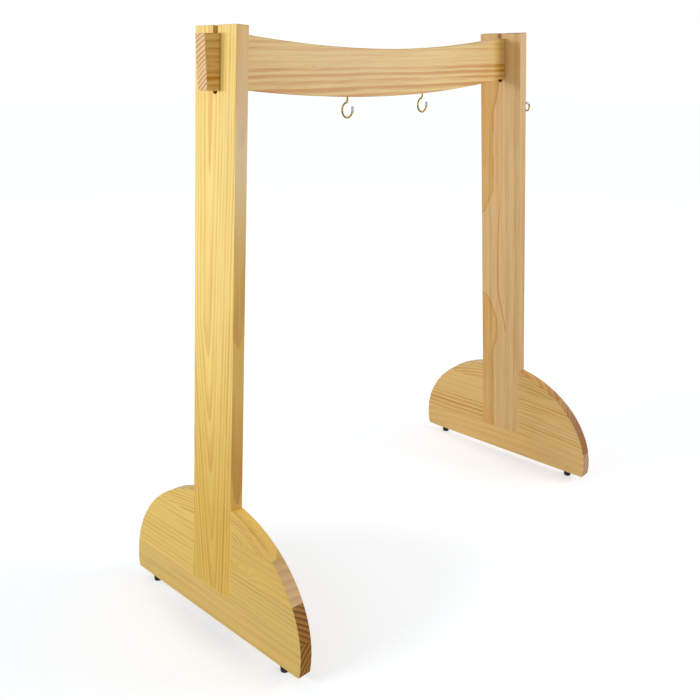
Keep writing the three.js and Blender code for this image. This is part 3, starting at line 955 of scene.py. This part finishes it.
YELLOW = Board(side=LEFT, streaks=0.8, pale=(0.90, 0.768, 0.395), dark=(0.79, 0.595, 0.245),
               end_pale=(0.690, 0.455, 0.110), end_dark=(0.420, 0.245, 0.030))
HONEY = Board(side=RIGHT, pale=(0.965, 0.81, 0.52), dark=(0.82, 0.57, 0.27),
              end_pale=(0.675, 0.445, 0.200), end_dark=(0.490, 0.275, 0.090))
WAVY = replace(HONEY, arch=0.25, wave=0.0040, uneven=1.2, contrast=0.6, patchy=2.4, streaks=0.9)
BOARDS = {
    "crossbeam": Board(
        axes="yzx", pith=(-0.106, -0.120), ring=0.0113, phase=-15.18, uneven=0.5, wave=0.0013,
        contrast=1.6, patchy=2.4, streaks=1.8, fade=(0.2, 1.0, 0.30), fine=1.55,
        knots=((-0.234, 0.039, 0.0016),), swirls=((-0.234, 0.039, 0.020, 0.006, 0.35),),
        pale=(0.920, 0.772, 0.463), dark=(0.80, 0.53, 0.02),
        end_pale=(0.90, 0.765, 0.55), end_dark=(0.75, 0.53, 0.36), seed=3.0),
    "left_post": Board(
        side=LEFT, axes="xyz", pith=(0.0, 0.012), ring=0.0085,
        drift=((1.17, 0.012, 0.012), (0.62, 0.055, -0.055)),
        pale=(0.97, 0.86, 0.52), dark=(0.86, 0.68, 0.34),
        end_pale=(0.90, 0.80, 0.55), end_dark=(0.72, 0.55, 0.30),
        wave=0.0012, contrast=0.7, streaks=0.7, edge=(0.90, 0.76, 0.60),
        painted_sheen=(0.94, 0.13, (0.95, 0.86, 0.74)), foot=(0.80, 0.69, 0.36),
        hole=(0.75, 0.50, 0.18), seed=7.0),
    "left_base_sill": replace(
        YELLOW, pale=(0.865, 0.73, 0.41), dark=(0.76, 0.60, 0.28),
        pith=(-0.11, -0.06), ring=0.011, contrast=0.4, patchy=2.4, seed=11.0),
    "left_base_front_lower_strip": replace(
        YELLOW, pale=(0.86, 0.732, 0.40), dark=(0.755, 0.575, 0.25),
        pith=(0.085, -0.03), ring=0.0088, contrast=0.6, patchy=2.2, seed=13.0),
    "left_base_back_lower_strip": replace(
        YELLOW, pith=(0.03, -0.06), ring=0.0115, wave=0.0025, contrast=0.5, patchy=2.6,
        seed=17.0),
    "left_base_front_middle_strip": replace(
        YELLOW, pale=(0.86, 0.722, 0.37), dark=(0.745, 0.56, 0.23),
        end_pale=(0.88, 0.71, 0.52), end_dark=(0.82, 0.64, 0.45),
        pith=(0.02, -0.02), ring=0.013, contrast=0.5, patchy=2.2,
        swirls=((-0.095, 0.146, 0.030, 0.014, 2.2),), seed=19.0),
    "left_base_back_middle_strip": replace(
        YELLOW, pith=(0.02, 0.02), ring=0.0125, wave=0.0025, contrast=0.5, patchy=2.6,
        seed=23.0),
    "left_base_front_upper_strip": replace(
        YELLOW, pale=(0.905, 0.765, 0.39), dark=(0.72, 0.50, 0.20),
        end_pale=(0.93, 0.76, 0.46), end_dark=(0.85, 0.66, 0.38),
        pith=(-0.020, 0.06), ring=0.0062, phase=-0.43, arch=1.75, contrast=1.1,
        edge=(1.23, 1.18, 1.05), seed=29.0),
    "left_base_back_upper_strip": replace(
        YELLOW, pith=(0.03, 0.05), ring=0.0068, arch=0.8, contrast=0.9, seed=31.0),
    "right_post": replace(
        HONEY, pale=(0.937, 0.783, 0.535), dark=(0.775, 0.56, 0.29),
        axes="xyz", pith=(0.30, -0.35), ring=0.020, contrast=0.3, streaks=1.2,
        tongue=(0.068, ((0.690, 0.712, -0.022), (0.700, 0.775, -0.024), (0.95, 1.06, -0.018),
                        (0.480, 0.458, -0.028), (0.470, 0.390, -0.029), (0.36, 0.29, 0.013),
                        (1.13, 1.15, 0.08)), (0.985, 0.915, 0.765)),
        vein=(-0.0055, ((0.82, 0.62, 0.0135), (0.50, 0.37, -0.023)), (0.362, 0.52),
              (0.86, 0.74, 0.55)),
        edge=(0.84, 0.80, 0.79), hole=(1.3, 1.05, 0.45), seed=37.0),
    "right_base_sill": replace(
        HONEY, pale=(0.965, 0.805, 0.52), end_pale=(0.810, 0.660, 0.500),
        end_dark=(0.585, 0.415, 0.270), pith=(0.05, -0.02), ring=0.014, arch=0.15,
        contrast=0.3, seed=41.0),
    "right_base_front_lower_strip": replace(WAVY, pith=(0.09, -0.05), ring=0.0082, seed=43.0),
    "right_base_back_lower_strip": replace(
        HONEY, pith=(0.03, -0.04), ring=0.0125, phase=0.2, wave=0.0022, contrast=1.0,
        seed=47.0),
    "right_base_front_middle_strip": replace(
        WAVY, pale=(0.95, 0.80, 0.50), end_pale=(0.625, 0.380, 0.100),
        end_dark=(0.455, 0.235, 0.060), pith=(0.09, 0.01), ring=0.0080, seed=53.0),
    "right_base_back_middle_strip": replace(
        HONEY, pith=(0.02, 0.02), ring=0.016, contrast=0.25, seed=59.0),
    "right_base_front_upper_strip": replace(
        WAVY, pale=(0.94, 0.78, 0.48), end_pale=(0.570, 0.320, 0.100),
        end_dark=(0.410, 0.195, 0.040), pith=(0.08, 0.06), ring=0.0085, arch=0.6,
        wave=0.0036, contrast=0.7, streaks=1.1, edge=(0.88, 0.74, 0.56), seed=61.0),
    "right_base_back_upper_strip": replace(
        HONEY, pith=(0.02, 0.05), ring=0.0095, arch=0.9, contrast=0.7, seed=67.0),
}


def brass(nodes, spot, colour):
    """Bright-drawn brass wire with fine lines round it and a breath of tarnish."""
    tarnish = nodes.noise(spot, (260, 260, 260), 3.0)
    lines = nodes.noise(spot, (2500, 2500, 2500))
    dull = linear((0.52, 0.43, 0.11))
    nodes.shaded(nodes.blend(nodes.rise(tarnish, -0.12, 0.25), colour, dull),
                 tarnish * 0.20 + lines * 0.10 + 0.30, lines, 0.00001, Metallic=1.0)


def vinyl(nodes, spot, colour):
    """Soft nearly clear vinyl, slightly clouded."""
    cloud = nodes.noise(spot, (400, 400, 400), 3.0)
    milky = linear((0.90, 0.91, 0.89))
    nodes.shaded(nodes.blend(nodes.rise(cloud, -0.2, 0.2), colour, milky),
                 cloud * 0.15 + 0.30, cloud, 0.00001, Transmission_Weight=0.25, IOR=1.35)


def rubber(nodes, spot, colour):
    """Black rubber with a dry moulded skin."""
    skin = nodes.noise(spot, (1500, 1500, 1500), 3.0)
    dust = nodes.noise(spot, (150, 150, 150), 3.0)
    dusty = linear((0.17, 0.17, 0.17))
    nodes.shaded(nodes.blend(nodes.rise(dust, 0.0, 0.3), colour, dusty),
                 skin * 0.2 + 0.62, skin, 0.00008)


def zinc_steel(nodes, spot, colour):
    """Zinc-plated steel with a faint bluish spangle."""
    bright = nodes.parts(nodes.node('TexVoronoi', {}, 'Color', Vector=spot, Scale=900.0))[0]
    scratches = nodes.noise(spot, (1800, 400, 1800))
    bluish = linear((0.60, 0.64, 0.68))
    nodes.shaded(nodes.blend(bright * 0.6, colour, bluish),
                 bright * 0.12 + scratches * 0.1 + 0.28, scratches, 0.00001, Metallic=1.0)


def beech(nodes, spot, colour):
    """Pale steamed beech with its short darker flecks."""
    flecks = nodes.rise(nodes.noise(spot, (1400, 350, 350), 1.0), 0.12, 0.22)
    fibre = nodes.noise(spot, (500, 60, 60), 3.0)
    ray = linear((0.68, 0.50, 0.33))
    nodes.shaded(nodes.brighten(nodes.blend(flecks * 0.6, colour, ray), fibre * 0.2 + 1.0),
                 fibre * 0.1 + 0.6, fibre - flecks, 0.00005)


FINISHES = {finish.__name__: finish for finish in (brass, vinyl, rubber, zinc_steel, beech)}


def finish_for(node, slot):
    """The finish of a piece: its own board's for the pine, else the slot's, made once."""
    name = f"pine_{node}" if slot == "pine" else f"stand_{slot}"
    if name not in bpy.data.materials:
        nodes = Nodes(bpy.data.materials.new(name))
        if slot == "pine":
            pine(nodes, BOARDS[node])
        else:
            FINISHES[slot](nodes, nodes.node('TexCoord', {}, 'Object'),
                           linear(getattr(bpy.context.scene.stand_finish, slot)))
    return bpy.data.materials[name]


# The studio

# Each lamp's name and place, and the middle, spread and level of its light on the floor
LAMPS = (("key_light", (-2.4, 0.6, 1.14), (-1.59, 0.39, 1.29), 0.375),
         ("front_light", (1.8, -2.1, 1.15), (1.25, -1.47, 1.305), 0.386))
# What the lamps face, and their width and height
LAMP_TARGET, LAMP_SIZE = (0, 0, 0.85), (1.2, 0.2)
# What shows as white, what the room alone gives the floor, and between which shares of the way
# to a lamp its light on the floor fades
WHITE, ROOM_LIT, LAMP_FADE = 1.05, 0.45, (1.05, 0.7)
# The floor's shade along each base: the place across, its spread and its tone. Then along
SHADES = ((-0.553, 0.046, (0.61, 0.65, 0.75)), (0.497, 0.026, (0.80, 0.84, 0.92)))
SHADE_ALONG = (-0.02, 0.19)
# Width of the camera's sensor, in millimetres, and of the floor
SENSOR, FLOOR_WIDTH = 36, 40


def studio_white(name, colour):
    """The floor's paint: matt, and lit enough to meet the white behind it. It is lit less
    where the lamps already light it, so that the stand's shadow shows."""
    nodes = Nodes(bpy.data.materials.new(name))
    x, y, _ = nodes.parts(nodes.node('TexCoord', {}, 'Object'))
    lit, tone = ROOM_LIT, (1.0, 1.0, 1.0)
    for _, (lamp_x, lamp_y, _), (there_x, there_y, spread), level in LAMPS:
        away = (x * lamp_x + y * lamp_y) / (lamp_x ** 2 + lamp_y ** 2)
        lit = (nodes.hump(x, there_x, spread) * nodes.hump(y, there_y, spread)
               * nodes.rise(away, *LAMP_FADE) * level + lit)
    # A painted shade on the floor along each base: the glow's tone is lowered there
    for beside, spread, shade in SHADES:
        tone = nodes.blend(nodes.hump(x, beside, spread) * nodes.hump(y, *SHADE_ALONG),
                           tone, shade)
    seen = nodes.node('LightPath', {}, 'Is Camera Ray')
    nodes.node('OutputMaterial', Surface=nodes.node('AddShader', inputs=(
        nodes.node('BsdfDiffuse', Color=linear(colour)),
        nodes.node('Emission', Color=nodes.brighten(tone, (WHITE - lit) * seen), Strength=1.0))))
    return bpy.data.materials[name]


def studio_air(name, level):
    """The white that the camera and the metal see, and the weaker light from all round."""
    world = bpy.data.worlds.new(name)
    nodes = Nodes(world)
    seen = 0.0
    for ray in ('Camera', 'Glossy', 'Transmission'):
        seen = nodes.maths('MAXIMUM', seen, nodes.node('LightPath', {}, f'Is {ray} Ray'))
    air = nodes.node('Background', Color=(1.0, 1.0, 1.0),
                     Strength=nodes.rise(seen, 0.0, 1.0, level, 1.0))
    nodes.node('OutputWorld', Surface=air)
    return world


# Operators

class STAND_OT_studio(bpy.types.Operator):
    """Set up the pale floor, the soft lights and the camera"""
    bl_idname = "stand.studio"
    bl_label = "Studio"
    bl_options = {'REGISTER', 'UNDO'}

    def execute(self, context):
        scene, studio = context.scene, context.scene.stand_studio
        eye = bpy.data.cameras.new("camera")
        eye.lens, eye.sensor_width, eye.shift_y = studio.lens, SENSOR, studio.rise
        camera = bpy.data.objects.new("camera", eye)
        camera.matrix_world = (
            Matrix.Translation(studio.eye) @ Matrix.Rotation(-studio.heading, 4, 'Z')
            @ Matrix.Rotation(math.pi / 2 - studio.dip, 4, 'X')
            @ Matrix.Rotation(studio.roll, 4, 'Z'))
        scene.collection.objects.link(camera)
        scene.camera = camera
        scene.view_settings.view_transform = 'Standard'
        for (name, place, _, _), power in zip(LAMPS, (studio.key, studio.fill)):
            lamp = bpy.data.lights.new(name, 'AREA')
            lamp.energy, lamp.shape, (lamp.size, lamp.size_y) = power, 'RECTANGLE', LAMP_SIZE
            light = bpy.data.objects.new(name, lamp)
            light.location, facing = place, Vector(LAMP_TARGET) - Vector(place)
            light.rotation_euler = facing.to_track_quat('-Z', 'Y').to_euler()
            scene.collection.objects.link(light)
        floor = new_piece('plane', size=FLOOR_WIDTH)
        floor.name = "floor"
        floor.data.materials.append(studio_white("floor", studio.floor))
        scene.world = studio_air("room", studio.room)
        return {'FINISHED'}


class STAND_OT_bases(bpy.types.Operator):
    """Make both half-moon bases from their strips"""
    bl_idname = "stand.bases"
    bl_label = "Bases"
    bl_options = {'REGISTER', 'UNDO'}

    def execute(self, context):
        for name, strip in list(base_strips()):
            for side_name, side in SIDES.items():
                finish_piece(put(copied(strip), leaned(side)), f"{side_name}_base_{name}",
                             f"{side_name}_frame", "pine")
            scrap(strip)
        return {'FINISHED'}


class STAND_OT_posts(bpy.types.Operator):
    """Make both posts, and drill the right one for the mallet's hook"""
    bl_idname = "stand.posts"
    bl_label = "Posts"
    bl_options = {'REGISTER', 'UNDO'}

    def execute(self, context):
        post = plain_post()
        for side_name, side in SIDES.items():
            piece = copied(post)
            if side == RIGHT:
                cut(piece, pilot_hole(context.scene.stand_mallet_hook, 'x', mallet_hook_mouth()))
            finish_piece(put(piece, leaned(side)), f"{side_name}_post", f"{side_name}_frame",
                         "pine")
        scrap(post)
        return {'FINISHED'}


class STAND_OT_crossbeam(bpy.types.Operator):
    """Make the bowed crossbeam with its housings and the holes for the gong's hooks"""
    bl_idname = "stand.crossbeam"
    bl_label = "Crossbeam"
    bl_options = {'REGISTER', 'UNDO'}

    def execute(self, context):
        beam = bowed_board()
        for side in SIDES.values():
            cut(beam, *housing_cutters(side),
                pilot_hole(context.scene.stand_gong_hook, 'z', gong_hook_mouth(side)))
        finish_piece(beam, "crossbeam", "beam", "pine")
        return {'FINISHED'}


class STAND_OT_hooks(bpy.types.Operator):
    """Make the gong's two hooks, the mallet's hook and the soft caps on their tips"""
    bl_idname = "stand.hooks"
    bl_label = "Hooks and caps"
    bl_options = {'REGISTER', 'UNDO'}

    def execute(self, context):
        hook = context.scene.stand_gong_hook
        wire, cap = bent_hook(hook), hook_cap(hook)
        for side_name, side in SIDES.items():
            place = Matrix.Translation(gong_hook_mouth(side) - Vector((0, 0, hook.reach)))
            name = f"{side_name}_gong_hook"
            finish_piece(put(copied(wire), place), name, "beam", "brass")
            finish_piece(put(copied(cap), place), f"{name}_cap", "beam", "vinyl")
        scrap(wire, cap)
        hook = context.scene.stand_mallet_hook
        place = (leaned(RIGHT)
                 @ Matrix.Translation(mallet_hook_mouth() + Vector((hook.reach, 0, 0)))
                 @ Matrix.Rotation(-math.pi / 2, 4, 'Y'))
        finish_piece(put(bent_hook(hook), place), "mallet_hook", "right_frame", "brass")
        finish_piece(put(hook_cap(hook), place), "mallet_hook_cap", "right_frame", "vinyl")
        return {'FINISHED'}


class STAND_OT_feet(bpy.types.Operator):
    """Make the rubber feet with their washers and screws"""
    bl_idname = "stand.feet"
    bl_label = "Feet"
    bl_options = {'REGISTER', 'UNDO'}

    def execute(self, context):
        spread = context.scene.stand_foot.spread
        washer, screw = foot_washer(), foot_screw()
        for side_name, side in SIDES.items():
            rubber_made = rubber_foot(side)
            for end, way in ENDS.items():
                place = leaned(side) @ Matrix.Translation((0, way * spread, 0))
                for made, ending, slot in ((rubber_made, "", "rubber"),
                                           (washer, "_washer", "zinc_steel"),
                                           (screw, "_screw", "zinc_steel")):
                    finish_piece(put(copied(made), place), f"{side_name}_{end}_foot{ending}",
                                 f"{side_name}_frame", slot)
            scrap(rubber_made)
        scrap(washer, screw)
        return {'FINISHED'}


class STAND_OT_dowels(bpy.types.Operator):
    """Finish the dowels, whose shape in the frame is right as it is"""
    bl_idname = "stand.dowels"
    bl_label = "Dowels"
    bl_options = {'REGISTER', 'UNDO'}

    def execute(self, context):
        for side_name in SIDES:
            for name, _, _ in dowel_places():
                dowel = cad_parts[f"{side_name}_{name}"]
                dowel.data.materials.clear()
                dowel.data.materials.append(finish_for(name, "beech"))
        return {'FINISHED'}


MAKERS = (STAND_OT_studio, STAND_OT_bases, STAND_OT_posts, STAND_OT_crossbeam,
          STAND_OT_hooks, STAND_OT_feet, STAND_OT_dowels)


class STAND_PT_sidebar(bpy.types.Panel):
    """Lists the operators and settings of the gong stand"""
    bl_label = "Gong stand"
    bl_idname = "STAND_PT_sidebar"
    bl_space_type = 'VIEW_3D'
    bl_region_type = 'UI'
    bl_category = "Gong stand"

    def draw(self, context):
        for maker in MAKERS:
            self.layout.operator(maker.bl_idname)
        for group in SETTINGS:
            settings = getattr(context.scene, group)
            box = self.layout.box()
            box.label(text=settings.bl_rna.description or group)
            for name in settings.bl_rna.properties.keys():
                if name not in ("rna_type", "name"):
                    box.prop(settings, name, text=name.replace("_", " ").capitalize())


CLASSES = (*SETTINGS.values(), *MAKERS, STAND_PT_sidebar)


def register():
    for item in CLASSES:
        bpy.utils.register_class(item)
    for name, group in SETTINGS.items():
        setattr(bpy.types.Scene, name, PointerProperty(type=group))


def unregister():
    for name in SETTINGS:
        delattr(bpy.types.Scene, name)
    for item in reversed(CLASSES):
        bpy.utils.unregister_class(item)


def main():
    register()
    for maker in MAKERS:
        getattr(bpy.ops.stand, maker.bl_idname.removeprefix("stand."))()


if __name__ == "__main__":
    main()
